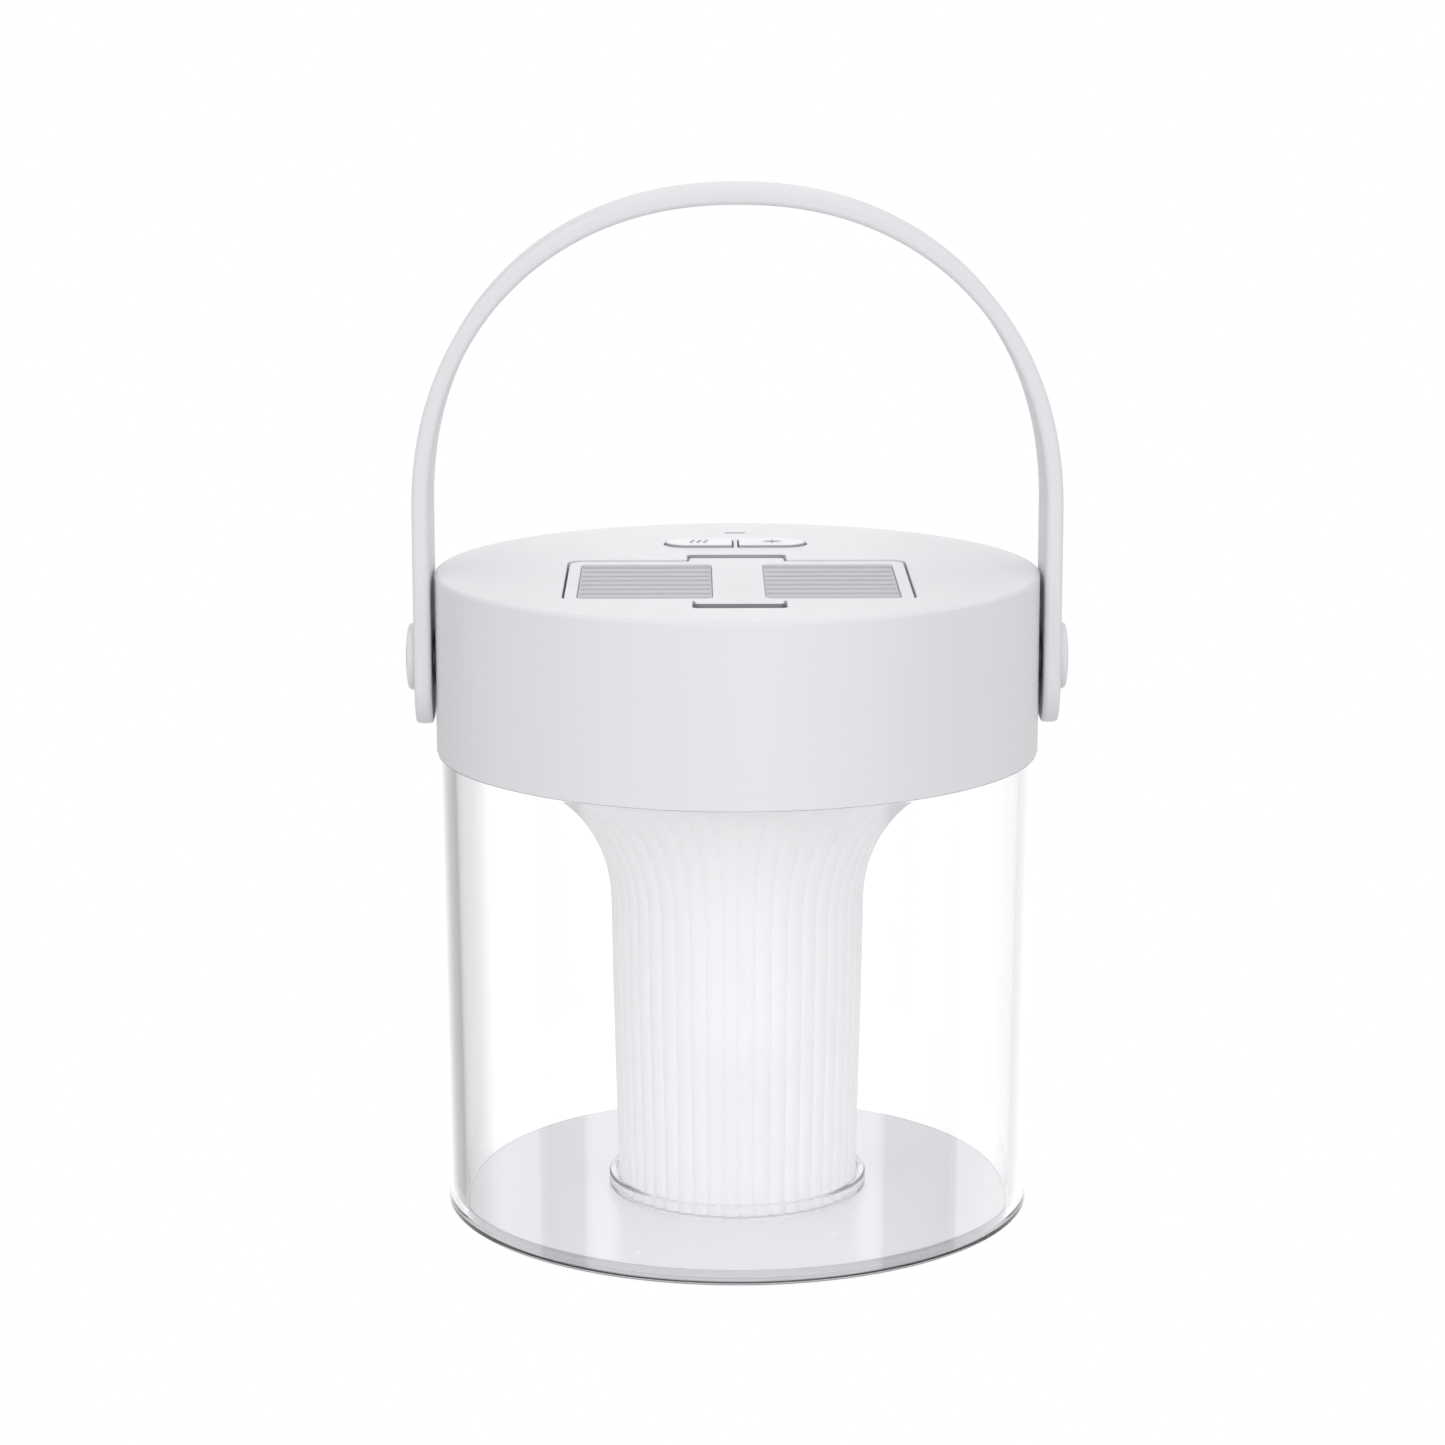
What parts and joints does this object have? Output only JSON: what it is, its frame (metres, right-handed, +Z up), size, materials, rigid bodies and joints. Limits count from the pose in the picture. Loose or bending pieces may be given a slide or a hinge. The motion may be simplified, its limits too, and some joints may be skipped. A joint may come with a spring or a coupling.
{
  "type": "electric mosquito lantern",
  "caption": "Portable electric insect-repelling lantern: round white head with vented lift-off lid, push buttons and swinging strap handle on a clear jar holding a fluted diffuser.",
  "frame": {"origin": "centre of the underside, on the upright axis of the jar", "axes": "+Z up along the jar's axis, front (lid tab side) towards -Y, handle pivots along X"},
  "size_m": [0.1098, 0.1, 0.1705],
  "materials": {
    "white_shell": "satin moulded white plastic",
    "base": "satin moulded white plastic",
    "clear_acrylic": "polished clear acrylic",
    "pad_rubber": "matt soft rubber",
    "frosted_diffuser": "frosted translucent plastic, fluted",
    "light_core": "opal translucent plastic",
    "indicator_lens": "opal translucent plastic",
    "circuit_board": "solder mask on glass fibre board",
    "handle_plastic": "satin moulded white plastic",
    "lid_plastic": "satin moulded white plastic",
    "grille_plastic": "light grey moulded plastic",
    "button_plastic": "satin moulded white plastic",
    "screw_steel": "zinc plated steel",
    "spring_steel": "stamped sheet steel",
    "washer_plastic": "black acetal",
    "ceramic": "matt white ceramic",
    "repellent_mat": "pale blue pressed paper mat",
    "switch_plastic": "black moulded plastic",
    "battery_wrap": "blue-grey shrink wrap",
    "tray_plastic": "heat resistant glass-filled plastic",
    "heater_aluminium": "milled aluminium"
  },
  "bodies": {
    "lantern": {"head_shell": "white_shell", "head_floor": "white_shell", "clear_jar": "clear_acrylic", "base_plate": "base", "foot_pad_1": "pad_rubber", "foot_pad_2": "pad_rubber", "foot_pad_3": "pad_rubber", "foot_pad_4": "pad_rubber", "diffuser": "frosted_diffuser", "diffuser_collar": "clear_acrylic", "light_tube": "light_core", "led_board": "circuit_board", "pivot_screw_left": "screw_steel", "pivot_washer_left": "washer_plastic", "ptc_element_left": "ceramic", "repellent_mat_left": "repellent_mat", "pivot_screw_right": "screw_steel", "pivot_washer_right": "washer_plastic", "ptc_element_right": "ceramic", "repellent_mat_right": "repellent_mat", "heat_switch": "switch_plastic", "light_switch": "switch_plastic", "indicator_window": "indicator_lens", "main_board": "circuit_board", "usb_socket": "spring_steel", "battery_pack": "battery_wrap", "heater_tray": "tray_plastic", "heater_plate": "heater_aluminium", "heater_clamp": "spring_steel", "head_screw_1": "screw_steel", "head_screw_2": "screw_steel", "head_screw_3": "screw_steel", "head_screw_4": "screw_steel", "board_screw_1": "screw_steel", "board_screw_2": "screw_steel", "board_screw_3": "screw_steel", "board_screw_4": "screw_steel", "tray_screw_left": "screw_steel", "tray_screw_right": "screw_steel", "clamp_screw": "screw_steel"},
    "handle": {"carry_handle": "handle_plastic", "pivot_cap_left": "handle_plastic", "pivot_cap_right": "handle_plastic"},
    "vent_lid": {"lid_frame": "lid_plastic", "lid_grille_left": "grille_plastic", "lid_grille_right": "grille_plastic"},
    "heat_button": {"heat_button": "button_plastic"},
    "light_button": {"light_button": "button_plastic"}
  },
  "joints": [
    {"name": "handle_swing", "type": "hinge", "parent": "lantern", "child": "handle", "pos_m": [0, 0, 0.0927], "axis": [1, 0, 0], "range_deg": [-128, 128]},
    {"name": "lid_lift", "type": "slide", "parent": "lantern", "child": "vent_lid", "axis": [0, 0, 1], "range_m": [0, 0.03]},
    {"name": "heat_press", "type": "slide", "parent": "lantern", "child": "heat_button", "axis": [0, 0, -1], "range_m": [0, 0.0005], "stiffness_N_per_m": 400},
    {"name": "light_press", "type": "slide", "parent": "lantern", "child": "light_button", "axis": [0, 0, -1], "range_m": [0, 0.0005], "stiffness_N_per_m": 400}
  ]
}
